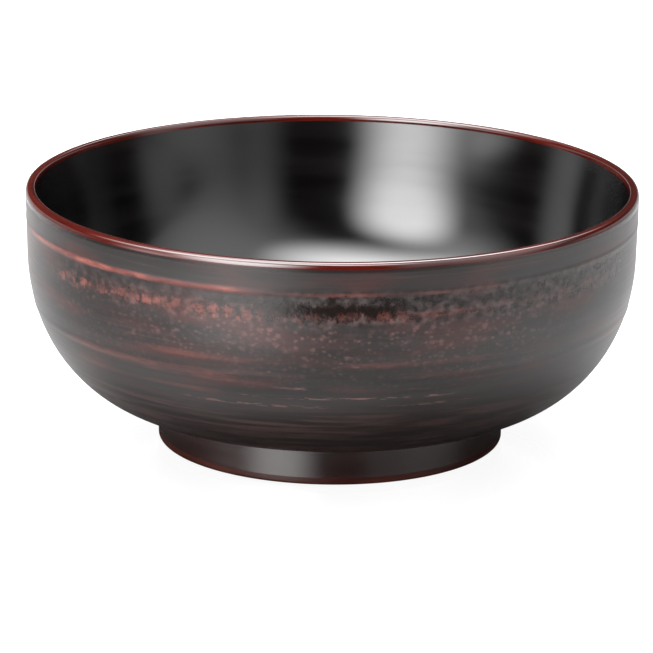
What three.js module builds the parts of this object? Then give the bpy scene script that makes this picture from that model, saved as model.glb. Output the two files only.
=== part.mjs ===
// Lacquer soup bowl: a bowl turned from one piece of wood, with separate coats of lacquer on every face.
// Millimetres, +Z up. The origin is the centre of the plane that the foot stands on.

import * as THREE from "three";

// Outside of the bowl
const rimDiameter = 150;
const bowlHeight = 63.7;
const uprightHeight = 16.7; // upright part of the wall, from the top of the lip down
const uprightLean = 0.35; // how far the upright part leans in
const bellyFullness = 0.56; // 0.55 is close to a quarter of an ellipse

// Lip and inside of the bowl
const lipThickness = 2.5;
const lipRounding = 1.3;
const lipCrestShare = 0.2; // of the way over the lip from the inside, where it is highest
const lipLean = 0.25; // how far the outer face of the lip leans in
const lipFullness = 0.95; // of the corner between the outer face and the top of the lip
const insideLean = 7.5; // how far the inside leans in, so that the wall thickens below the lip
const insideFullness = 0.9; // of the inside wall, along its height
const floorFullness = 0.86; // of the floor, along its radius
const floorRise = 3.6; // middle of the floor, above the joint of the belly and the foot

// Foot ring
const footDiameter = 85.1;
const footHeight = 9.8;
const footWidth = 4.2;
const footEdgeRounding = 0.7;
const recessDepth = 7;
const recessFillet = 2.5;

// Coats of lacquer
const topcoatThickness = 0.25;
const undercoatThickness = 0.35;
const innerCoatThickness = 0.5;
const rimCoatThickness = 0.4; // over the top of the lip
const rimCoatOverlap = 0.1; // down both sides, below the rounding of the lip
const footCoatThickness = 0.6;
const footEdgeCoatThickness = 0.5; // under the standing edge
const footEdgeCoatRise = 1.8; // up both sides of the foot ring
const recessCoatThickness = 0.4;
const bondGap = 0.02; // between neighbouring coats, and between a coat and the wood

// Facets
const turnSegments = 48;
const lipSteps = 6;
const lipInsideSteps = 3;
const bellySteps = 8;
const insideSteps = 13;
const edgeSteps = 2;
const filletSteps = 3;

const quarterTurn = Math.PI / 2;

const rimRadius = rimDiameter / 2;
const footRadius = footDiameter / 2;
const footInnerRadius = footRadius - footWidth;
const lipSpring = bowlHeight - lipRounding;
const floorHeight = footHeight + floorRise;

// How deep the undercoat and the wood lie below the finished faces
const undercoatDepth = topcoatThickness + bondGap;
const undercoatBase = undercoatDepth + undercoatThickness;
const outerWoodDepth = undercoatBase + bondGap;
const innerWoodDepth = innerCoatThickness + bondGap;

// Outside face, from the rounding of the lip down to the foot. In a profile x is the radius and y the height.
const shoulder = new THREE.Vector2(rimRadius - uprightLean, bowlHeight - uprightHeight);
const footJoint = new THREE.Vector2(footRadius + bondGap, footHeight);
const upright = new THREE.LineCurve(new THREE.Vector2(rimRadius, lipSpring), shoulder);
const belly = new THREE.CubicBezierCurve(
  shoulder,
  upright.getTangent(1).multiplyScalar(bellyFullness * (shoulder.y - footJoint.y)).add(shoulder),
  new THREE.Vector2(bellyFullness * (shoulder.x - footJoint.x), 0).add(footJoint),
  footJoint,
);
const outside = new THREE.CurvePath();
outside.add(upright);
outside.add(belly);

// Inside face, one sweep from the rounding of the lip to the middle of the floor
const insideTop = new THREE.Vector2(rimRadius - lipThickness, lipSpring);
const inside = new THREE.CubicBezierCurve(
  insideTop,
  new THREE.Vector2(-insideLean, -insideFullness * (lipSpring - floorHeight)).add(insideTop),
  new THREE.Vector2(floorFullness * insideTop.x, floorHeight),
  new THREE.Vector2(0, floorHeight),
);

// Distances down the outside face and the inside face where the profiles have a point
const bellyDistances = [];
for (let step = 0; step <= bellySteps; step += 1) {
  bellyDistances.push(upright.getLength() + (belly.getLength() * step) / bellySteps);
}
const insideDistances = [];
for (let step = 1; step < insideSteps; step += 1) {
  insideDistances.push((inside.getLength() * step) / insideSteps);
}
const lipDistances = [0, rimCoatOverlap];
const coatStart = rimCoatOverlap + bondGap;

// Points down a face, set off from it to the left of its run by a depth
function faceLine(face, distances, depth) {
  return distances.map((distance) => {
    const share = distance / face.getLength();
    const along = face.getTangentAt(share);
    return face.getPointAt(share).add(new THREE.Vector2(-along.y, along.x).multiplyScalar(depth));
  });
}

// Line down the outside face, at a depth below it
function outerLine(distances, depth) {
  return faceLine(outside, distances, -depth);
}

// Line down the inside face, at a depth below it
function innerLine(distances, depth) {
  return faceLine(inside, distances, depth);
}

// Line down the inside face and over the floor to the axis, at a depth below it
function innerLineToAxis(distances, depth) {
  return [...innerLine(distances, depth), new THREE.Vector2(0, floorHeight - depth)];
}

// Line over the lip between the two sides of the wall, at a depth below the outside, the inside and the top
function lipLine(outerDepth, innerDepth, topDepth) {
  const outer = rimRadius - outerDepth;
  const inner = rimRadius - lipThickness + innerDepth;
  const crest = inner + lipCrestShare * (outer - inner);
  const rise = lipRounding - topDepth;
  const climb = new THREE.CubicBezierCurve(
    new THREE.Vector2(outer, lipSpring),
    new THREE.Vector2(outer - lipFullness * lipLean, lipSpring + lipFullness * rise),
    new THREE.Vector2(crest + lipFullness * (outer - lipLean - crest), lipSpring + rise),
    new THREE.Vector2(crest, lipSpring + rise),
  );
  const drop = new THREE.EllipseCurve(crest, lipSpring, crest - inner, rise, quarterTurn, Math.PI);
  return [...climb.getPoints(lipSteps).slice(1), ...drop.getPoints(lipInsideSteps).slice(1, -1)];
}

// Line over the recess under the floor, from the axis to the foot ring, at a depth below its finished face
function recessLine(depth) {
  const fillet = Math.min(recessFillet, (recessDepth - footEdgeCoatRise) / 2);
  const radius = fillet + depth;
  const arc = new THREE.EllipseCurve(
    footInnerRadius - fillet, recessDepth - fillet, radius, radius, quarterTurn, 0, true);
  return [new THREE.Vector2(0, recessDepth + depth), ...arc.getPoints(filletSteps)];
}

// Rounded corner of the standing edge, turning from one direction to another
function edgeCorner(centreRadius, start, end) {
  const arc = new THREE.EllipseCurve(
    centreRadius, footEdgeRounding, footEdgeRounding, footEdgeRounding, start, end, true);
  return arc.getPoints(edgeSteps);
}

// A ring or shell between two lines that run the same way
function between(first, second) {
  return [...first, ...second.toReversed()];
}

function closed(profile) {
  return [...profile, profile[0].clone()];
}

function turned(name, profile, material) {
  const mesh = new THREE.Mesh(new THREE.LatheGeometry(profile, turnSegments), material);
  mesh.name = name;
  return mesh;
}

function turnedCore() {
  const material = new THREE.MeshStandardMaterial({ color: 0xb58c5c, roughness: 0.7, metalness: 0 });
  const footInside = footInnerRadius + recessCoatThickness + bondGap;
  const footOutside = footRadius - footCoatThickness - bondGap;
  const footBottom = footEdgeCoatThickness + bondGap;
  return turned("turned_core", [
    ...recessLine(recessCoatThickness + bondGap),
    new THREE.Vector2(footInside, footBottom),
    new THREE.Vector2(footOutside, footBottom),
    new THREE.Vector2(footOutside, footHeight + outerWoodDepth),
    ...outerLine([...lipDistances, ...bellyDistances], outerWoodDepth).toReversed(),
    ...lipLine(outerWoodDepth, innerWoodDepth, rimCoatThickness + bondGap),
    ...innerLineToAxis([...lipDistances, ...insideDistances], innerWoodDepth),
  ], material);
}

function redUndercoat() {
  const material = new THREE.MeshStandardMaterial({ color: 0xa5381c, roughness: 0.4, metalness: 0 });
  const distances = [coatStart, ...bellyDistances];
  const profile = between(outerLine(distances, undercoatBase), outerLine(distances, undercoatDepth));
  return turned("red_undercoat", closed(profile), material);
}

function outerTopcoat() {
  const material = new THREE.MeshStandardMaterial({ color: 0x2c2322, roughness: 0.35, metalness: 0 });
  const distances = [coatStart, ...bellyDistances];
  const profile = between(outerLine(distances, topcoatThickness), outerLine(distances, 0));
  return turned("outer_topcoat", closed(profile), material);
}

function rimCoat() {
  const material = new THREE.MeshStandardMaterial({ color: 0x9c3420, roughness: 0.25, metalness: 0 });
  const finished = [
    ...outerLine(lipDistances, 0).toReversed(),
    ...lipLine(0, 0, 0),
    ...innerLine(lipDistances, 0),
  ];
  const base = [
    ...outerLine(lipDistances, undercoatBase).toReversed(),
    ...lipLine(undercoatBase, innerCoatThickness, rimCoatThickness),
    ...innerLine(lipDistances, innerCoatThickness),
  ];
  return turned("rim_coat", closed(between(finished, base)), material);
}

function innerCoat() {
  const material = new THREE.MeshStandardMaterial({ color: 0x151213, roughness: 0.15, metalness: 0 });
  const distances = [coatStart, ...insideDistances];
  const base = innerLineToAxis(distances, innerCoatThickness);
  const finished = innerLineToAxis(distances, 0);
  return turned("inner_coat", between(base.toReversed(), finished.toReversed()), material);
}

function footWallCoat() {
  const material = new THREE.MeshStandardMaterial({ color: 0x2a1d1a, roughness: 0.25, metalness: 0 });
  const wood = footRadius - footCoatThickness;
  const bottom = footEdgeCoatRise + bondGap;
  const top = footHeight + outerWoodDepth - bondGap;
  return turned("foot_wall_coat", closed([
    new THREE.Vector2(wood, bottom),
    new THREE.Vector2(footRadius, bottom),
    new THREE.Vector2(footRadius, top),
    new THREE.Vector2(wood, top),
  ]), material);
}

function footEdgeCoat() {
  const material = new THREE.MeshStandardMaterial({ color: 0x5c3026, roughness: 0.35, metalness: 0 });
  const finished = [
    new THREE.Vector2(footRadius, footEdgeCoatRise),
    ...edgeCorner(footRadius - footEdgeRounding, 0, -quarterTurn),
    ...edgeCorner(footInnerRadius + footEdgeRounding, -quarterTurn, -Math.PI),
    new THREE.Vector2(footInnerRadius, footEdgeCoatRise),
  ];
  const base = [
    new THREE.Vector2(footRadius - footCoatThickness, footEdgeCoatRise),
    new THREE.Vector2(footRadius - footCoatThickness, footEdgeCoatThickness),
    new THREE.Vector2(footInnerRadius + recessCoatThickness, footEdgeCoatThickness),
    new THREE.Vector2(footInnerRadius + recessCoatThickness, footEdgeCoatRise),
  ];
  return turned("foot_edge_coat", closed(between(base, finished)), material);
}

function footRecessCoat() {
  const material = new THREE.MeshStandardMaterial({ color: 0x1a1516, roughness: 0.3, metalness: 0 });
  const bottom = footEdgeCoatRise + bondGap;
  const finished = [...recessLine(0), new THREE.Vector2(footInnerRadius, bottom)];
  const base = [
    ...recessLine(recessCoatThickness),
    new THREE.Vector2(footInnerRadius + recessCoatThickness, bottom),
  ];
  return turned("foot_recess_coat", between(finished, base), material);
}

// The profiles are turned about the Y axis, which then stands up as +Z
const turning = new THREE.Group();
turning.rotation.x = quarterTurn;
turning.add(
  turnedCore(),
  redUndercoat(),
  outerTopcoat(),
  rimCoat(),
  innerCoat(),
  footWallCoat(),
  footEdgeCoat(),
  footRecessCoat(),
);

const bowl = new THREE.Group();
bowl.add(turning);

export default bowl;
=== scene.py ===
# Looks of a lacquer soup bowl: each coat is a smooth turned piece with its own finish, in a white studio.
# Metres, +Z up, -Y towards the viewer. In a section x is the radius and y the height.

import math

import bmesh
import bpy
import numpy as np
from mathutils import Matrix, Vector


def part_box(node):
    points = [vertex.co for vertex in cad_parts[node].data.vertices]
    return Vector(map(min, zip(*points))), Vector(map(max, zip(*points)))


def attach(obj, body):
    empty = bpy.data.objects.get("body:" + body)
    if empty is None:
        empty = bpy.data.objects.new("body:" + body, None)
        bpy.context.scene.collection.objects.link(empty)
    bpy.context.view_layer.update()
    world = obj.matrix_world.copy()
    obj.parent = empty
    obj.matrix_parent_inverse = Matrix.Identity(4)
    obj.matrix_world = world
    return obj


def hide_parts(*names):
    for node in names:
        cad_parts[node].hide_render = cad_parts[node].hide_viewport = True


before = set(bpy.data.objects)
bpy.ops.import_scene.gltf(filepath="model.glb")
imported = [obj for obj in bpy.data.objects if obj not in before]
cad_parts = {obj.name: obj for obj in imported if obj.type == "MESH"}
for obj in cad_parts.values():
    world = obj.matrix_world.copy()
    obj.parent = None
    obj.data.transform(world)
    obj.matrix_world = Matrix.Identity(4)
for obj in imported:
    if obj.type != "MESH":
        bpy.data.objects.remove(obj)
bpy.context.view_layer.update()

MM = 0.001

# Sizes of the bowl, from the frame
RIM_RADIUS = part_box("rim_coat")[1].x
LIP_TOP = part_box("rim_coat")[1].z
RIM_COAT_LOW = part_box("rim_coat")[0].z
OUTER_COAT_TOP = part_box("outer_topcoat")[1].z
FOOT_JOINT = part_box("outer_topcoat")[0].z
FOOT_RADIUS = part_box("foot_wall_coat")[1].x
FOOT_WALL_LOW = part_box("foot_wall_coat")[0].z
FOOT_WALL_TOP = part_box("foot_wall_coat")[1].z
EDGE_COAT_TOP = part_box("foot_edge_coat")[1].z
RECESS_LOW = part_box("foot_recess_coat")[0].z

# Thickness of the coats
TOPCOAT = 0.25 * MM
INNER_COAT = 0.5 * MM
RIM_COAT = 0.4 * MM
RIM_COAT_SIDE = 0.6 * MM
FOOT_COAT = 0.6 * MM
EDGE_COAT = 0.5 * MM
RECESS_COAT = 0.4 * MM

# Shape of the wall, the lip and the foot ring
UPRIGHT_HEIGHT = 16.7 * MM
UPRIGHT_LEAN = 0.35 * MM
BELLY_FULLNESS = 0.56
LIP_THICKNESS = 2.5 * MM
LIP_ROUNDING = 1.3 * MM
LIP_CREST_SHARE = 0.2
LIP_LEAN = 0.25 * MM
LIP_FULLNESS = 0.95
INSIDE_LEAN = 7.5 * MM
INSIDE_FULLNESS = 0.9
FLOOR_FULLNESS = 0.86
FOOT_WIDTH = 4.2 * MM
EDGE_ROUNDING = 0.7 * MM
RECESS_FILLET = 2.5 * MM

LIP_SPRING = LIP_TOP - LIP_ROUNDING
RIM_COAT_OVERLAP = LIP_SPRING - RIM_COAT_LOW
COAT_START = LIP_SPRING - OUTER_COAT_TOP
FLOOR_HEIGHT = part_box("inner_coat")[0].z + INNER_COAT
RECESS_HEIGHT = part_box("foot_recess_coat")[1].z - RECESS_COAT
FOOT_INNER_RADIUS = FOOT_RADIUS - FOOT_WIDTH

# Fineness of the meshes
SEGMENTS = 320
FINE_STEP = 0.25 * MM
SMOOTH_STEP = 0.8 * MM
HIDDEN_STEP = 3 * MM
CURVE_STEPS = 400
LIP_STEPS = 40
ARC_STEPS = 10
SHARP_ANGLE = math.radians(35)
MERGE_DISTANCE = 0.0001 * MM

# Turned ridges of the outside: height above the table, how far they stand out and half their width
THREAD_RIDGES = (
    (56.4 * MM, 0.08 * MM, 0.6 * MM),
    (35.6 * MM, 0.11 * MM, 0.9 * MM),
)
# Brush marks of the outside: waves of mixed widths that swell one to five times round the bowl, and drift
BRUSH_SEED = 11
BRUSH_WAVES = 70
BRUSH_DEPTH = 0.01 * MM
BRUSH_WIDTHS = (0.8 * MM, 3.5 * MM)
BRUSH_SWELLS = (1, 6)
BRUSH_DRIFT = 0.6
# Height over which the ridges and the marks fade at the top and the foot of the wall
RIDGE_FADE = 1.5 * MM


# Lines of the section

def bezier(start, start_handle, end_handle, end, steps=CURVE_STEPS):
    t = np.linspace(0, 1, steps)[:, None]
    corners = [np.array(corner) for corner in (start, start_handle, end_handle, end)]
    weights = ((1 - t) ** 3, 3 * (1 - t) ** 2 * t, 3 * (1 - t) * t**2, t**3)
    return sum(weight * corner for weight, corner in zip(weights, corners))


def arc(centre, radii, start, end):
    turn = np.linspace(start, end, ARC_STEPS)
    return np.stack([centre[0] + radii[0] * np.cos(turn), centre[1] + radii[1] * np.sin(turn)], axis=1)


def points_along(line, step, start=0.0):
    """Points of a line, about a step apart, from a distance along it to its end."""
    along = np.concatenate([[0], np.cumsum(np.linalg.norm(np.diff(line, axis=0), axis=1))])
    places = np.linspace(start, along[-1], max(2, round((along[-1] - start) / step)))
    return np.stack([np.interp(places, along, line[:, axis]) for axis in (0, 1)], axis=1)


def normals_of(line):
    """Directions square to a line, to the left of its run."""
    run = np.gradient(line, axis=0)
    left = np.stack([-run[:, 1], run[:, 0]], axis=1)
    return left / np.linalg.norm(left, axis=1, keepdims=True)


def outside_line():
    """Outside face of the wall, from the rounding of the lip down to the foot."""
    top = np.array((RIM_RADIUS, LIP_SPRING))
    shoulder = np.array((RIM_RADIUS - UPRIGHT_LEAN, LIP_TOP - UPRIGHT_HEIGHT))
    joint = np.array((FOOT_RADIUS, FOOT_JOINT))
    lean = (shoulder - top) / np.linalg.norm(shoulder - top)
    belly = bezier(
        shoulder,
        shoulder + lean * BELLY_FULLNESS * (shoulder[1] - joint[1]),
        joint + np.array((BELLY_FULLNESS * (shoulder[0] - joint[0]), 0)),
        joint,
    )
    return np.concatenate([[top], belly])


def inside_line():
    """Inside face of the bowl, from the rounding of the lip to the middle of the floor."""
    top = np.array((RIM_RADIUS - LIP_THICKNESS, LIP_SPRING))
    return bezier(
        top,
        top + np.array((-INSIDE_LEAN, -INSIDE_FULLNESS * (LIP_SPRING - FLOOR_HEIGHT))),
        (FLOOR_FULLNESS * top[0], FLOOR_HEIGHT),
        (0, FLOOR_HEIGHT),
    )


def lip_line(outer_depth, inner_depth, top_depth):
    """Line over the lip from the outside to the inside, at depths below its faces."""
    outer = RIM_RADIUS - outer_depth
    inner = RIM_RADIUS - LIP_THICKNESS + inner_depth
    crest = inner + LIP_CREST_SHARE * (outer - inner)
    rise = LIP_ROUNDING - top_depth
    top = LIP_SPRING + rise
    over = bezier(
        (outer, LIP_SPRING),
        (outer - LIP_FULLNESS * LIP_LEAN, LIP_SPRING + LIP_FULLNESS * rise),
        (crest + LIP_FULLNESS * (outer - LIP_LEAN - crest), top),
        (crest, top),
        LIP_STEPS,
    )
    down = arc((crest, LIP_SPRING), (crest - inner, rise), math.pi / 2, math.pi)
    inner_low = points_along(inside_line(), SMOOTH_STEP, RIM_COAT_OVERLAP)[0] + np.array((inner_depth, 0))
    return np.concatenate([[(outer, RIM_COAT_LOW)], over, down[1:], [inner_low]])


def recess_line(depth):
    """Line of the recess in the foot, from its middle to its lower edge, at a depth behind its face."""
    radius = RECESS_FILLET + depth
    centre = (FOOT_INNER_RADIUS - RECESS_FILLET, RECESS_HEIGHT - RECESS_FILLET)
    return np.concatenate([
        [(0, RECESS_HEIGHT + depth)],
        arc(centre, (radius, radius), math.pi / 2, 0),
        [(FOOT_INNER_RADIUS + depth, RECESS_LOW)],
    ])


# Turned pieces

def brush_ridges(angle, height):
    """How far the outside stands out at each angle and height: turned ridges and fine brush marks."""
    draw = np.random.default_rng(BRUSH_SEED)
    relief = np.zeros(np.broadcast(angle, height).shape)
    for _ in range(BRUSH_WAVES):
        width = draw.uniform(*BRUSH_WIDTHS)
        phase, turn_phase = draw.uniform(0, 2 * math.pi, 2)
        swells = draw.integers(*BRUSH_SWELLS)
        swell = 0.5 + 0.5 * np.cos(swells * angle + turn_phase)
        drift = BRUSH_DRIFT * np.sin(angle + turn_phase)
        relief += swell * np.sin(2 * math.pi * height / width + phase + drift)
    relief *= BRUSH_DEPTH / BRUSH_WAVES
    for ridge_height, rise, half_width in THREAD_RIDGES:
        relief += rise * np.exp(-(((height - ridge_height) / half_width) ** 2))
    from_top = np.clip((height.max() - height) / RIDGE_FADE, 0, 1)
    from_foot = np.clip((height - height.min()) / RIDGE_FADE, 0, 1)
    return relief * (from_top * from_foot)


def turned(name, face, back, relief=None):
    """A coat turned about the axis. Its face and its back are lines that together go round its section."""
    section = np.concatenate([face, back])
    angle = np.linspace(0, 2 * math.pi, SEGMENTS, endpoint=False)
    lines = np.repeat(section[None], SEGMENTS, axis=0)
    if relief is not None:
        rise = relief(angle[:, None], face[None, :, 1])
        lines[:, : len(face)] += rise[..., None] * normals_of(face)[None]
    radius = lines[..., 0]
    height = lines[..., 1]
    points = np.stack([radius * np.sin(angle)[:, None], -radius * np.cos(angle)[:, None], height], axis=2)

    # A section that starts on the axis also ends there, and is left open along it
    on_axis = section[0, 0] < MERGE_DISTANCE
    count = len(section)
    spans = np.arange(count - 1 if on_axis else count)
    ring, span = np.meshgrid(np.arange(SEGMENTS), spans, indexing="ij")
    next_span = (span + 1) % count
    here = ring * count
    beside = (ring + 1) % SEGMENTS * count
    corners = (here + span, here + next_span, beside + next_span, beside + span)
    faces = np.stack(corners, axis=2).reshape(-1, len(corners))

    mesh = bpy.data.meshes.new(name)
    mesh.from_pydata(points.reshape(-1, 3), [], faces.tolist())
    closing = bmesh.new()
    closing.from_mesh(mesh)
    bmesh.ops.remove_doubles(closing, verts=closing.verts, dist=MERGE_DISTANCE)
    bmesh.ops.recalc_face_normals(closing, faces=closing.faces)
    closing.to_mesh(mesh)
    closing.free()
    mesh.shade_smooth()
    mesh.set_sharp_from_angle(angle=SHARP_ANGLE)
    piece = bpy.data.objects.new(name, mesh)
    bpy.context.scene.collection.objects.link(piece)
    return piece


def outer_topcoat():
    face = points_along(outside_line(), FINE_STEP, COAT_START)
    back = points_along(face, HIDDEN_STEP)
    back = back - TOPCOAT * normals_of(back)
    return turned("brushed_topcoat", face, back[::-1], brush_ridges)


def rim_coat():
    return turned("lip_coat", lip_line(0, 0, 0), lip_line(RIM_COAT_SIDE, INNER_COAT, RIM_COAT)[::-1])


def inner_coat():
    face = points_along(inside_line(), SMOOTH_STEP, COAT_START)
    back = points_along(face, HIDDEN_STEP)
    back = back + INNER_COAT * normals_of(back)
    back[-1, 0] = 0
    return turned("inside_coat", face[::-1], back)


def foot_wall_coat():
    face = np.array([(FOOT_RADIUS, FOOT_WALL_TOP), (FOOT_RADIUS, FOOT_WALL_LOW)])
    back = face - np.array((FOOT_COAT, 0))
    return turned("foot_coat", points_along(face, SMOOTH_STEP), back[::-1])


def foot_edge_coat():
    corner = (EDGE_ROUNDING, EDGE_ROUNDING)
    face = np.concatenate([
        [(FOOT_RADIUS, EDGE_COAT_TOP)],
        arc((FOOT_RADIUS - EDGE_ROUNDING, EDGE_ROUNDING), corner, 0, -math.pi / 2),
        arc((FOOT_INNER_RADIUS + EDGE_ROUNDING, EDGE_ROUNDING), corner, -math.pi / 2, -math.pi),
        [(FOOT_INNER_RADIUS, EDGE_COAT_TOP)],
    ])
    back = np.array([
        (FOOT_INNER_RADIUS + RECESS_COAT, EDGE_COAT_TOP),
        (FOOT_INNER_RADIUS + RECESS_COAT, EDGE_COAT),
        (FOOT_RADIUS - FOOT_COAT, EDGE_COAT),
        (FOOT_RADIUS - FOOT_COAT, EDGE_COAT_TOP),
    ])
    return turned("standing_edge", face, back)


def foot_recess_coat():
    return turned("recess_coat", recess_line(0), recess_line(RECESS_COAT)[::-1])


# Nodes of materials, lamps and the world

# Sockets of a Mix node that take and give colours
MIX_FIRST = 6
MIX_SECOND = 7
MIX_RESULT = 2


class Nodes:
    """Short ways to add nodes to a node tree. A value is a number, a colour or the output of a node."""

    def __init__(self, tree):
        self.nodes = tree.nodes
        self.links = tree.links

    def add(self, kind, inputs=None, **settings):
        node = self.nodes.new(kind)
        for key, value in settings.items():
            setattr(node, key, value)
        for socket, value in (inputs or {}).items():
            self.feed(node.inputs[socket], value)
        return node

    def feed(self, socket, value):
        if isinstance(value, bpy.types.NodeSocket):
            self.links.new(value, socket)
        else:
            socket.default_value = value

    def math(self, operation, *values):
        return self.add("ShaderNodeMath", dict(enumerate(values)), operation=operation).outputs[0]

    def product(self, first, *others):
        result = first
        for value in others:
            result = self.math("MULTIPLY", result, value)
        return result

    def distance(self, across, along):
        """How far a point is from zero, from its two coordinates."""
        square = self.math("MULTIPLY_ADD", across, across, self.math("MULTIPLY", along, along))
        return self.math("SQRT", square)

    def ramp(self, value, low, high, start=0.0, end=1.0):
        """Smooth change from start to end as a value goes from low to high."""
        inputs = {0: value, 1: low, 2: high, 3: start, 4: end}
        return self.add("ShaderNodeMapRange", inputs, interpolation_type="SMOOTHSTEP").outputs[0]

    def band(self, value, low, high, soft):
        """1 where a value lies between low and high, with soft edges."""
        rise = self.ramp(value, low - soft, low + soft)
        fall = self.ramp(value, high - soft, high + soft, 1, 0)
        return self.math("MULTIPLY", rise, fall)

    def shaken(self, value, noise, reach):
        """A value moved up and down by a noise, over a reach."""
        return self.math("MULTIPLY_ADD", noise, reach, self.math("ADD", value, -0.5 * reach))

    def mix(self, share, first, second):
        node = self.add("ShaderNodeMix", data_type="RGBA")
        self.feed(node.inputs[0], share)
        self.feed(node.inputs[MIX_FIRST], first)
        self.feed(node.inputs[MIX_SECOND], second)
        return node.outputs[MIX_RESULT]


# Finishes. Sizes in their patterns are millimetres and degrees, with 0 degrees in front and 90 at the right.
# A noise is the length of its streaks round the bowl, their width, a shift that sets it apart from others,
# its detail and its roughness. A ramp is a low and a high value and the results at both, or else 0 and 1.

RIM_RADIUS_MM = RIM_RADIUS / MM
# Height plus radius where the patterns begin
PATTERN_START = 2 * RIM_RADIUS_MM
# Values of a noise between which most finishes change, and plain coats change colour
NOISE_RANGE = (0.3, 0.7)
PLAIN_COLOUR_RANGE = (0.35, 0.65)

# Dots: size of the noise of their edge as a share of their cell, its detail and roughness, how far it moves
# the edge, and how the strength of a dot falls from its middle
DOT_EDGE_SHARE = 0.6
DOT_EDGE_NOISE = (3, 0.7)
DOT_RAGGED = 0.9
DOT_FALL = (0.05, 0.6, 1, 0)


class Finish(Nodes):
    """A material with its place on the bowl: x, y, height and radius in mm, and the angle round the axis."""

    def __init__(self, name):
        self.material = bpy.data.materials.new(name)
        self.material.use_nodes = True
        super().__init__(self.material.node_tree)
        self.shader = self.nodes["Principled BSDF"]
        metres = self.add("ShaderNodeTexCoord").outputs["Object"]
        place = self.add("ShaderNodeVectorMath", {0: metres, "Scale": 1 / MM}, operation="SCALE")
        self.x, self.y, self.height = self.add("ShaderNodeSeparateXYZ", {0: place.outputs[0]}).outputs
        turn = self.math("ARCTAN2", self.x, self.math("MULTIPLY", self.y, -1))
        self.angle = self.math("DEGREES", turn)
        self.radius = self.distance(self.x, self.y)

    def set(self, **inputs):
        for name, value in inputs.items():
            self.feed(self.shader.inputs[name.replace("_", " ")], value)

    def bump(self, height, depth, strength):
        inputs = {"Height": height, "Distance": depth, "Strength": strength}
        self.set(Normal=self.add("ShaderNodeBump", inputs).outputs["Normal"])

    def streaked(self, length, width, shift):
        """Coordinates in which round spots come out as streaks round the bowl, thin on the belly too."""
        run = RIM_RADIUS_MM / length
        down = self.math("ADD", self.height, self.math("ADD", self.radius, shift - PATTERN_START))
        parts = {
            0: self.math("MULTIPLY", self.math("DIVIDE", self.x, self.radius), run),
            1: self.math("MULTIPLY", self.math("DIVIDE", self.y, self.radius), run),
            2: self.math("DIVIDE", down, width),
        }
        return self.add("ShaderNodeCombineXYZ", parts).outputs[0]

    def noise(self, length, width, shift, detail, roughness):
        vector = self.streaked(length, width, shift)
        inputs = {"Vector": vector, "Scale": 1.0, "Detail": detail, "Roughness": roughness}
        return self.add("ShaderNodeTexNoise", inputs).outputs["Fac"]

    def dots(self, length, width, shift, share):
        """Soft dots of mixed strength, in cells of a length and a width. A share of the cells shows one."""
        inputs = {"Vector": self.streaked(length, width, shift), "Scale": 1.0}
        cell = self.add("ShaderNodeTexVoronoi", inputs)
        chance = self.add("ShaderNodeSeparateColor", {0: cell.outputs["Color"]}).outputs[0]
        edges = self.noise(DOT_EDGE_SHARE * length, DOT_EDGE_SHARE * width, shift, *DOT_EDGE_NOISE)
        away = self.shaken(cell.outputs["Distance"], edges, DOT_RAGGED)
        return self.product(self.ramp(away, *DOT_FALL), self.ramp(chance, 1 - share, 1))

    def around(self, spans, soft):
        """Strength round the bowl, from spans of a first and a last angle and a strength."""
        total = 0.0
        for first, last, strength in spans:
            total = self.math("MULTIPLY_ADD", self.band(self.angle, first, last, soft), strength, total)
        return total


# Plain coats: the two colours and the two roughnesses that streaks mix, their length and width, and the shine
PLAIN_COATS = {
    "rim_red": ((0.022, 0.0018, 0.001, 1), (0.043, 0.0036, 0.0018, 1), (0.09, 0.13), (30, 1.5), 0.75),
    "inner_black": ((0.0012, 0.001, 0.001, 1), (0.0024, 0.002, 0.002, 1), (0.11, 0.15), (60, 6), 0.68),
    "foot_dark": ((0.014, 0.0055, 0.005, 1), (0.025, 0.01, 0.009, 1), (0.2, 0.26), (50, 2), 0.8),
    "foot_edge_red": ((0.028, 0.006, 0.004, 1), (0.05, 0.011, 0.007, 1), (0.32, 0.42), (20, 1), 0.3),
    "recess_dark": ((0.006, 0.005, 0.005, 1), (0.012, 0.009, 0.009, 1), (0.3, 0.4), (40, 2), 0.5),
    "undercoat_red": ((0.3, 0.03, 0.012, 1), (0.42, 0.06, 0.025, 1), (0.4, 0.5), (30, 1), 0.5),
}
# Shift, detail and roughness of their streaks
PLAIN_NOISE = (0, 4, 0.5)
PLAIN_BUMP = (0.01 * MM, 0.3)


def plain_coat(name):
    """A gloss coat with faint streaks in its colour and its shine."""
    dark, light, roughness, size, shine = PLAIN_COATS[name]
    finish = Finish(name)
    streaks = finish.noise(*size, *PLAIN_NOISE)
    finish.set(Base_Color=finish.mix(finish.ramp(streaks, *PLAIN_COLOUR_RANGE), dark, light))
    finish.set(Roughness=finish.ramp(streaks, *NOISE_RANGE, *roughness))
    finish.set(Specular_IOR_Level=shine)
    finish.bump(streaks, *PLAIN_BUMP)
    return finish


WOOD_RINGS = (80, 2, 0, 4, 0.5)
WOOD_DARK = (0.32, 0.18, 0.08, 1)
WOOD_LIGHT = (0.5, 0.32, 0.16, 1)
WOOD_ROUGHNESS = (0.6, 0.8)


def wood_finish():
    finish = Finish("core_wood")
    rings = finish.noise(*WOOD_RINGS)
    finish.set(Base_Color=finish.mix(rings, WOOD_DARK, WOOD_LIGHT))
    finish.set(Roughness=finish.ramp(rings, *NOISE_RANGE, *WOOD_ROUGHNESS))
    return finish


# The brushed coat

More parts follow.
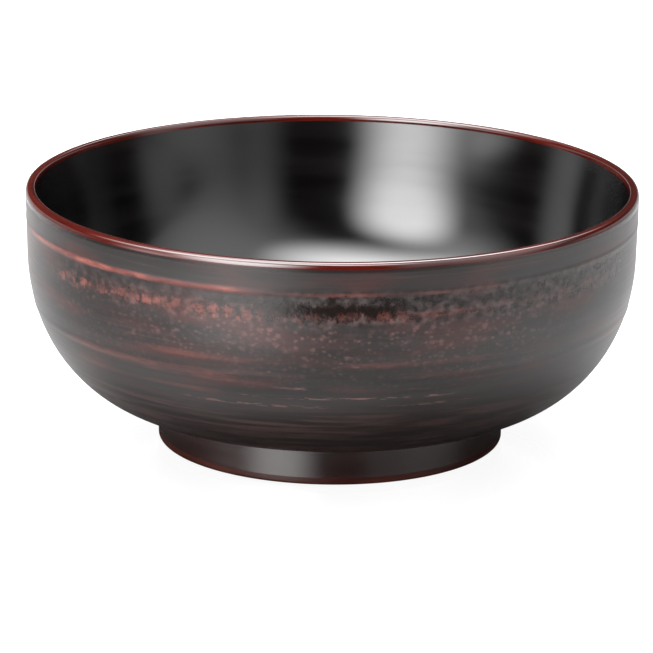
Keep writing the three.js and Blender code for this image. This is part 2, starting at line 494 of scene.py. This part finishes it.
DARK = (0.013, 0.011, 0.011, 1)
DARK_GREY = (0.021, 0.018, 0.018, 1)
DARK_BROWN = (0.009, 0.0042, 0.0036, 1)
STREAK_PALE = (0.038, 0.031, 0.031, 1)
STREAK_BROWN = (0.044, 0.024, 0.022, 1)
WARM = (0.045, 0.017, 0.015, 1)
BLACK = (0.004, 0.0015, 0.001, 1)
RED = (0.26, 0.078, 0.06, 1)
RED_BROWN = (0.13, 0.034, 0.028, 1)
FLECK_PINK = (0.145, 0.078, 0.072, 1)
FLECK_GREY = (0.12, 0.1, 0.096, 1)

# Noise that several marks share
STREAKS = (25, 0.55, 30, 3, 0.5)
GRAIN = (2.0, 1.8, 210, 2, 0.5)

# Ground: broad streaks, warm clouds, fine pale streaks, and the brown low part with its own streaks
BROAD_STREAKS = (60, 3, 0, 3, 0.5)
CLOUDS = (26, 6, 150, 3, 0.5)
CLOUD_SHARE = (0.45, 0.7, 0, 0.6)
CLOUD_HEIGHTS = (24, 32)
PALE_STREAK_SHARE = (0.52, 0.75, 0, 0.4)
BROWN_HEIGHTS = (23, 30, 0.9, 0)
LOW_STREAKS = (34, 2.2, 180, 4, 0.65)
LOW_STREAK_SHARE = (0.43, 0.63)
LOW_STREAK_FADE = (24.5, 27, 1, 0.35)
LOW_STREAK_END = (27, 32, 1, 0)


def dark_ground(finish, streaks):
    """The dark topcoat: streaks round the bowl, warm clouds and a browner lower part."""
    broad = finish.ramp(finish.noise(*BROAD_STREAKS), *NOISE_RANGE)
    colour = finish.mix(broad, DARK, DARK_GREY)
    clouds = finish.ramp(finish.noise(*CLOUDS), *CLOUD_SHARE)
    colour = finish.mix(finish.product(clouds, finish.ramp(finish.height, *CLOUD_HEIGHTS)), colour, WARM)
    colour = finish.mix(finish.ramp(streaks, *PALE_STREAK_SHARE), colour, STREAK_PALE)
    colour = finish.mix(finish.ramp(finish.height, *BROWN_HEIGHTS), colour, DARK_BROWN)
    low_streaks = finish.product(
        finish.ramp(finish.noise(*LOW_STREAKS), *LOW_STREAK_SHARE),
        finish.ramp(finish.height, *LOW_STREAK_FADE),
        finish.ramp(finish.height, *LOW_STREAK_END),
    )
    return finish.mix(low_streaks, colour, STREAK_BROWN)


# Flecks: length and width of their cells, shift and share of the cells that show one
SMALL_FLECKS = (1.3, 1.0, 450, 0.8)
SMALL_FLECK_STRENGTH = 0.75
LARGE_FLECKS = (2.0, 1.5, 360, 0.6)
LARGE_FLECK_STRENGTH = 0.85
FLECK_GRAIN_SHARE = (0.5, 0.8, 0, 0.3)
FLECK_PATCHES = (16, 5, 300, 2, 0.5)
FLECK_PATCH_SHARE = (0.35, 0.65, 0.2, 0.7)
FLECK_RISE = (27, 45)
FLECK_FALL = (50, 56, 1, 0)
FLECK_SPAN_SOFT = 10
# Where the flecks lie thick and thin: first and last angle, strength
FLECKED = (
    (-26, 42, 0.85),
    (-64, -26, 0.5),
    (42, 72, 0.25),
    (80, 175, 0.8),
    (-175, -80, 0.8),
)


def pale_flecks(finish, grain):
    """Small soft flecks of the red coat, thickest just below the band of dabs."""
    small = finish.product(finish.dots(*SMALL_FLECKS), SMALL_FLECK_STRENGTH)
    large = finish.product(finish.dots(*LARGE_FLECKS), LARGE_FLECK_STRENGTH)
    flecks = finish.math("ADD", finish.math("MAXIMUM", small, large), finish.ramp(grain, *FLECK_GRAIN_SHARE))
    return finish.product(
        flecks,
        finish.ramp(finish.noise(*FLECK_PATCHES), *FLECK_PATCH_SHARE),
        finish.ramp(finish.height, *FLECK_RISE),
        finish.ramp(finish.height, *FLECK_FALL),
        finish.around(FLECKED, FLECK_SPAN_SOFT),
    )


# Brush strokes that show red: height and width, first and last angle, strength
RED_STROKES = (
    (60.2, 0.4, -12, 50, 0.08),
    (51.0, 1.6, 13, 22, 0.16),
    (56.4, 1.4, -74, -14, 0.72),
    (56.2, 0.9, -9, 9, 0.35),
    (56.1, 0.8, 9, 34, 0.2),
    (39.5, 1.6, -37, -15, 0.22),
    (39.1, 1.6, 2, 29, 0.15),
    (35.3, 1.9, -60, -20, 0.27),
    (34.0, 0.9, -42, -12, 0.15),
    (30.6, 1.2, -56, -22, 0.16),
    (56.4, 1.2, 92, 152, 0.85),
    (56.4, 1.2, -166, -118, 0.75),
    (39.4, 1.5, 108, 142, 0.3),
    (35.2, 1.8, 62, 98, 0.32),
    (35.2, 1.6, 148, 178, 0.3),
    (30.6, 1.0, -152, -104, 0.22),
)
# Thin pale strokes low on the belly, in the same way
PALE_STROKES = (
    (30.4, 0.7, -14, 22, 0.8),
    (28.0, 0.7, -27, -2, 0.65),
    (28.2, 0.6, 12, 29, 0.6),
    (33.0, 0.8, -8, -2, 0.7),
    (32.6, 0.8, 12, 17, 0.7),
    (30.2, 0.6, 80, 125, 0.5),
    (28.4, 0.6, -175, -120, 0.4),
)
# How strokes break up along their run, wander at their ends and fade across their width
STROKE_BREAKS = (4, 0.7, 60, 4, 0.65)
RED_STROKE_GAPS = (0.35, 0.6, 0.5, 1)
PALE_STROKE_GAPS = (0.49, 0.57, 0, 1)
STROKE_WANDER = (5, 0.5, 90, 2, 0.5)
STROKE_WANDER_ANGLE = 14
STROKE_END_SOFT = 4
STROKE_CORE_SHARE = 0.1
STROKE_EDGE_SHARE = 0.75


def strokes(finish, table, gaps):
    """Strokes of a brush, broken up along their run. In their gaps a share of their strength is left."""
    breaks = finish.noise(*STROKE_BREAKS)
    run = finish.shaken(finish.angle, finish.noise(*STROKE_WANDER), STROKE_WANDER_ANGLE)
    total = 0.0
    for height, width, first, last, strength in table:
        away = finish.math("ABSOLUTE", finish.math("SUBTRACT", finish.height, height))
        across = finish.ramp(away, STROKE_CORE_SHARE * width, STROKE_EDGE_SHARE * width, strength, 0)
        stroke = finish.product(across, finish.band(run, first, last, STROKE_END_SOFT))
        total = finish.math("MAXIMUM", total, stroke)
    return finish.product(total, finish.ramp(breaks, *gaps))


# Rows of dabs: spacing, length, width, height and scatter up and down
LARGE_DABS = (4.4, 2.8, 2.2, 51.2, 1.2)
SMALL_DABS = (1.6, 1.3, 1.4, 50.8, 2.4)
DAB_EDGES = (0.9, 0.9, 240, 2, 0.6)
DAB_RAGGED = 3.0
DAB_FALL = (0.4, 1.3, 1, 0)
DAB_STRENGTHS = (0, 0.8, 0.3, 1)
DAB_CLUSTERS = (9, 12, 420, 1, 0.5)
DAB_CLUSTER_SHARE = (0.4, 0.6, 0.5, 1)
DAB_SPAN_SOFT = 4
# Faint red round the dabs: its band of heights with its softness, and what the grain gives it
TINT_BAND = (49.5, 53.0, 1.8)
TINT_SHARE = (0.42, 0.8, 0, 0.5)
# Where the band of dabs is red: first and last angle, strength
RED_DABS = (
    (-60, -34, 0.38),
    (-34, -12, 0.46),
    (-9, 28, 0.2),
    (28, 62, 0.09),
    (75, 120, 0.4),
    (128, 172, 0.3),
    (-172, -128, 0.4),
    (-118, -78, 0.25),
)


def red_tint(finish, grain):
    """A faint red mottle round the dabs."""
    tint = finish.product(finish.ramp(grain, *TINT_SHARE), finish.band(finish.height, *TINT_BAND))
    return finish.product(tint, finish.around(RED_DABS, DAB_SPAN_SOFT))


def dab_row(finish, edges, spacing, length, width, height, scatter):
    """A row of ragged dabs round the bowl, of mixed strength and scattered up and down."""
    place = finish.math("MULTIPLY", finish.angle, RIM_RADIUS_MM * math.radians(1) / spacing)
    cell = finish.add("ShaderNodeTexVoronoi", {"W": place, "Scale": 1.0}, voronoi_dimensions="1D")
    strength, lift, _ = finish.add("ShaderNodeSeparateColor", {0: cell.outputs["Color"]}).outputs
    middle = finish.shaken(height, lift, scatter)
    across = finish.math("MULTIPLY", cell.outputs["Distance"], 2 * spacing / length)
    down = finish.math("MULTIPLY", finish.math("SUBTRACT", finish.height, middle), 2 / width)
    away = finish.shaken(finish.distance(across, down), edges, DAB_RAGGED)
    return finish.product(finish.ramp(away, *DAB_FALL), finish.ramp(strength, *DAB_STRENGTHS))


def red_dabs(finish):
    """Two rows of dabs, with the small ones stronger in clusters."""
    edges = finish.noise(*DAB_EDGES)
    clusters = finish.ramp(finish.noise(*DAB_CLUSTERS), *DAB_CLUSTER_SHARE)
    large = dab_row(finish, edges, *LARGE_DABS)
    small = finish.product(dab_row(finish, edges, *SMALL_DABS), clusters)
    return finish.product(finish.math("MAXIMUM", large, small), finish.around(RED_DABS, DAB_SPAN_SOFT))


# Blots: their band of heights with its softness, how far their edges wander and the dark line under the lip,
# which is painted shade
BLOT_BAND = (50.8, 53.9, 1.1)
BLOT_EDGES = (1.3, 2.2, 330, 4, 0.7)
BLOT_RAGGED = 6
BLOT_SPAN_SOFT = 3
LIP_SHADE_HEIGHTS = (61.2, 61.9, 0, 0.7)
# Where the blots lie: first and last angle, strength
BLOTS = (
    (-13, 13, 1.0),
    (124, 150, 0.9),
    (-150, -118, 0.8),
)


def blots_and_lip_shade(finish):
    """Near black blots with ragged ends, and a dark line under the lip that is painted shade."""
    edge = finish.shaken(finish.height, finish.noise(*BLOT_EDGES), BLOT_RAGGED)
    spots = finish.product(finish.band(edge, *BLOT_BAND), finish.around(BLOTS, BLOT_SPAN_SOFT))
    return finish.math("MAXIMUM", spots, finish.ramp(finish.height, *LIP_SHADE_HEIGHTS))


# Mottle: its band of heights with its softness, and what the grain gives its dark and its pale part
MOTTLE_BAND = (49.0, 56.6, 1.5)
MOTTLE_SPAN_SOFT = 8
DARK_MOTTLE_SHARE = (0.34, 0.55, 1, 0)
PALE_MOTTLE_SHARE = (0.5, 0.75, 0, 0.3)
# Where the band of dabs is mottled: first and last angle, strength
MOTTLED = (
    (-62, -14, 0.4),
    (-10, 15, 0.9),
    (15, 36, 0.8),
    (36, 68, 1.0),
    (80, 118, 0.8),
    (124, 175, 0.5),
    (-160, -88, 0.7),
)


def mottle(finish, grain):
    """A dark and a pale mottle in the band of dabs."""
    where = finish.product(finish.band(finish.height, *MOTTLE_BAND), finish.around(MOTTLED, MOTTLE_SPAN_SOFT))
    dark = finish.product(finish.ramp(grain, *DARK_MOTTLE_SHARE), where)
    pale = finish.product(finish.ramp(grain, *PALE_MOTTLE_SHARE), where)
    return dark, pale


# Noise that mixes the two reds
RED_HUES = (10, 4, 390, 2, 0.5)
RED_HUE_SHARE = (0.4, 0.6)
# Roughness and relief: what the streaks give, and what blots, mottle and red marks change
BRUSHED_ROUGHNESS = (0.3, 0.34)
BLOT_ROUGHNESS = -0.24
MOTTLE_SMOOTH_SHARE = 0.3
STREAK_RELIEF = 0.15
MOTTLE_RELIEF = -1.8
RED_RELIEF = 0.5
BRUSHED_BUMP = (0.03 * MM, 0.4)


def brushed_finish():
    """The dark brushed coat, with the red coat under it showing in its marks."""
    finish = Finish("outer_dark")
    streaks = finish.noise(*STREAKS)
    grain = finish.noise(*GRAIN)
    # Blots, and the painted shade of the dark line under the lip
    dark = blots_and_lip_shade(finish)
    mottled, speckled = mottle(finish, grain)
    red = finish.math("MAXIMUM", red_dabs(finish), strokes(finish, RED_STROKES, RED_STROKE_GAPS))
    dashes = strokes(finish, PALE_STROKES, PALE_STROKE_GAPS)
    pale = finish.math("MAXIMUM", pale_flecks(finish, grain), dashes)
    hue = finish.ramp(finish.noise(*RED_HUES), *RED_HUE_SHARE)

    colour = finish.mix(speckled, dark_ground(finish, streaks), FLECK_GREY)
    colour = finish.mix(pale, colour, FLECK_PINK)
    colour = finish.mix(red_tint(finish, grain), colour, RED)
    # Black for the blots and the mottle, and as painted shade under the lip
    colour = finish.mix(finish.math("MAXIMUM", dark, mottled), colour, BLACK)
    colour = finish.mix(red, colour, finish.mix(hue, RED_BROWN, RED))
    finish.set(Base_Color=colour)

    roughness = finish.ramp(streaks, *NOISE_RANGE, *BRUSHED_ROUGHNESS)
    smooth = finish.math("MULTIPLY_ADD", mottled, MOTTLE_SMOOTH_SHARE, dark)
    finish.set(Roughness=finish.math("MULTIPLY_ADD", smooth, BLOT_ROUGHNESS, roughness))

    relief = finish.math("MULTIPLY", streaks, STREAK_RELIEF)
    relief = finish.math("MULTIPLY_ADD", mottled, MOTTLE_RELIEF, relief)
    relief = finish.math("MULTIPLY_ADD", red, RED_RELIEF, relief)
    finish.bump(relief, *BRUSHED_BUMP)
    return finish


# Pieces in place of the CAD coats. The wood and the red undercoat are hidden and keep their CAD shape.

def dress(piece, node, finish):
    piece.data.materials.append(finish.material)
    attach(piece, "root")
    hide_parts(node)


dress(outer_topcoat(), "outer_topcoat", brushed_finish())
dress(rim_coat(), "rim_coat", plain_coat("rim_red"))
dress(inner_coat(), "inner_coat", plain_coat("inner_black"))
dress(foot_wall_coat(), "foot_wall_coat", plain_coat("foot_dark"))
dress(foot_edge_coat(), "foot_edge_coat", plain_coat("foot_edge_red"))
dress(foot_recess_coat(), "foot_recess_coat", plain_coat("recess_dark"))

for node, finish in (("turned_core", wood_finish()), ("red_undercoat", plain_coat("undercoat_red"))):
    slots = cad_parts[node].data.materials
    slots.clear()
    slots.append(finish.material)


# Studio

WHITE = (1, 1, 1, 1)

FLOOR_SIZE = 6
FLOOR_GAP = 0.05 * MM
FLOOR_ROUGHNESS = 0.15
FLOOR_COAT = 0.4
# What the bowl mirrors of the floor: a shade round a point in front of the axis, in a grey that gets lighter
# from the front to the back, and to the right. Both are painted: painted shade near the foot and in front,
# painted light at the back
FLOOR_SHADE_FRONT = 30
FLOOR_SHADE_RADII = (35, 105)
FLOOR_SHADE_COLOUR = (0.05, 0.05, 0.05, 1)
FLOOR_FRONT_REACH = (-200, 120)
FLOOR_FRONT_SLANT = 0.5
FLOOR_FRONT_PAINTED_SHADE = (0.08, 0.08, 0.08, 1)
FLOOR_BACK_PAINTED_LIGHT = (0.52, 0.52, 0.52, 1)


def floor():
    """White to the eye. In what the bowl mirrors, the floor has painted shade: dark near the foot and in
    front.
    """
    mesh = bpy.data.meshes.new("floor")
    corners = [(-FLOOR_SIZE, -FLOOR_SIZE, 0), (FLOOR_SIZE, -FLOOR_SIZE, 0)]
    corners += [(FLOOR_SIZE, FLOOR_SIZE, 0), (-FLOOR_SIZE, FLOOR_SIZE, 0)]
    mesh.from_pydata(corners, [], [(0, 1, 2, 3)])
    plane = bpy.data.objects.new("floor", mesh)
    plane.location.z = -FLOOR_GAP
    bpy.context.scene.collection.objects.link(plane)

    finish = Finish("floor_white")
    from_shade = finish.distance(finish.x, finish.math("ADD", finish.y, FLOOR_SHADE_FRONT))
    slant = finish.math("MULTIPLY_ADD", finish.x, FLOOR_FRONT_SLANT, finish.y)
    # Painted shade in front, and painted light at the back and to the right, in what the bowl mirrors
    colour = finish.mix(finish.ramp(slant, *FLOOR_FRONT_REACH), FLOOR_FRONT_PAINTED_SHADE, FLOOR_BACK_PAINTED_LIGHT)
    # Painted shade round a point in front of the axis, where the bowl's own shade falls
    colour = finish.mix(finish.ramp(from_shade, *FLOOR_SHADE_RADII), FLOOR_SHADE_COLOUR, colour)
    finish.set(Base_Color=colour, Roughness=FLOOR_ROUGHNESS)
    finish.set(Coat_Weight=FLOOR_COAT, Coat_Roughness=FLOOR_ROUGHNESS)
    by_eye = finish.add("ShaderNodeLightPath").outputs["Is Camera Ray"]
    finish.set(Emission_Color=WHITE, Emission_Strength=by_eye)
    mesh.materials.append(finish.material)


# What the bowl mirrors of the room: bright at the back, and only near the horizon
ROOM_COLOUR = (0.8, 0.8, 0.8, 1)
ROOM_BACK = (-0.15, 0.5, 0.01, 1)
ROOM_HORIZON = (0.06, 0.16, 1, 0.05)


def white_room():
    """White to the eye, and darker in what the bowl mirrors."""
    world = bpy.data.worlds.new("white_room")
    bpy.context.scene.world = world
    world.use_nodes = True
    room = Nodes(world.node_tree)
    toward = room.add("ShaderNodeTexCoord").outputs["Generated"]
    _, back, up = room.add("ShaderNodeSeparateXYZ", {0: toward}).outputs
    strength = room.product(room.ramp(back, *ROOM_BACK), room.ramp(up, *ROOM_HORIZON))
    mirrored = room.add("ShaderNodeBackground", {"Color": ROOM_COLOUR, "Strength": strength})
    seen = room.nodes["Background"]
    room.feed(seen.inputs["Color"], WHITE)
    by_eye = room.add("ShaderNodeLightPath").outputs["Is Camera Ray"]
    both = room.add("ShaderNodeMixShader", {0: by_eye, 1: mirrored.outputs[0], 2: seen.outputs[0]})
    room.feed(room.nodes["World Output"].inputs["Surface"], both.outputs[0])


LAMP_DISTANCE = 0.8
LAMP_AIM = Vector((0, 0, 40 * MM))
# Middle of a lamp in its own coordinates, and how far its edge is from there
LAMP_MIDDLE = (0.5, 0.5, 0)
LAMP_EDGE = 0.5
# Name, azimuth from the front to the right, elevation, half the width and the height, all in degrees as the
# bowl sees them, brightness, and the share that fades
LAMPS = (
    ("key", -33, 17, 29, 22, 13, 0.8),
    ("key_spill", -68, 34, 38, 26, 3.4, 1.0),
    ("key_low", -64, 2, 24, 15, 3.4, 1.0),
    ("front_top", -26, 60, 48, 27, 15, 1.0),
    ("back_top", 172, 44, 22, 20, 12, 1.0),
    ("fill", 61, 50, 48, 60, 2.1, 0.85),
    ("fill_low", 29, 10, 13, 18, 0.6, 1.0),
    ("top_left", -130, 72, 26, 22, 17, 1.0),
    ("left", -84, 50, 28, 24, 7, 0.9),
)


def softbox(name, azimuth, elevation, half_width, half_height, brightness, soft):
    """A round lamp that faces the bowl. A soft share of it fades to its edge."""
    data = bpy.data.lights.new(name, "AREA")
    data.shape = "ELLIPSE"
    data.size = 2 * LAMP_DISTANCE * math.tan(math.radians(half_width))
    data.size_y = 2 * LAMP_DISTANCE * math.tan(math.radians(half_height))
    area = math.pi / 4 * data.size * data.size_y
    data.energy = math.pi * brightness * area
    data.use_nodes = True
    glow = Nodes(data.node_tree)
    place = glow.add("ShaderNodeNewGeometry").outputs["Parametric"]
    from_middle = glow.add("ShaderNodeVectorMath", {0: place, 1: LAMP_MIDDLE}, operation="DISTANCE")
    fade = glow.ramp(from_middle.outputs["Value"], LAMP_EDGE * (1 - soft), LAMP_EDGE, 1, 0)
    glow.feed(glow.nodes["Emission"].inputs["Strength"], fade)

    turn = math.radians(azimuth)
    rise = math.radians(elevation)
    away = Vector((math.sin(turn) * math.cos(rise), -math.cos(turn) * math.cos(rise), math.sin(rise)))
    lamp = bpy.data.objects.new(name, data)
    lamp.location = LAMP_AIM + LAMP_DISTANCE * away
    lamp.rotation_euler = away.to_track_quat("Z", "Y").to_euler()
    lamp.visible_camera = False
    bpy.context.scene.collection.objects.link(lamp)


# Camera of the photo, fitted to the outline of the bowl. Its sensor and its lens are in mm.
CAMERA_PLACE = Vector((0, -0.9984, 0.3152))
CAMERA_AIM = Vector((-0.0011, 0, 0.0273))
CAMERA_ROLL = math.radians(0.6)
CAMERA_SENSOR = 36
CAMERA_LENS = 231.8


def photo_camera():
    data = bpy.data.cameras.new("photo_camera")
    data.sensor_width = CAMERA_SENSOR
    data.lens = CAMERA_LENS
    camera = bpy.data.objects.new("photo_camera", data)
    turn = (CAMERA_AIM - CAMERA_PLACE).to_track_quat("-Z", "Y").to_matrix().to_4x4()
    camera.matrix_world = Matrix.Translation(CAMERA_PLACE) @ turn @ Matrix.Rotation(CAMERA_ROLL, 4, "Z")
    bpy.context.scene.collection.objects.link(camera)
    bpy.context.scene.camera = camera


floor()
white_room()
for lamp in LAMPS:
    softbox(*lamp)
photo_camera()
bpy.context.scene.view_settings.view_transform = "Standard"
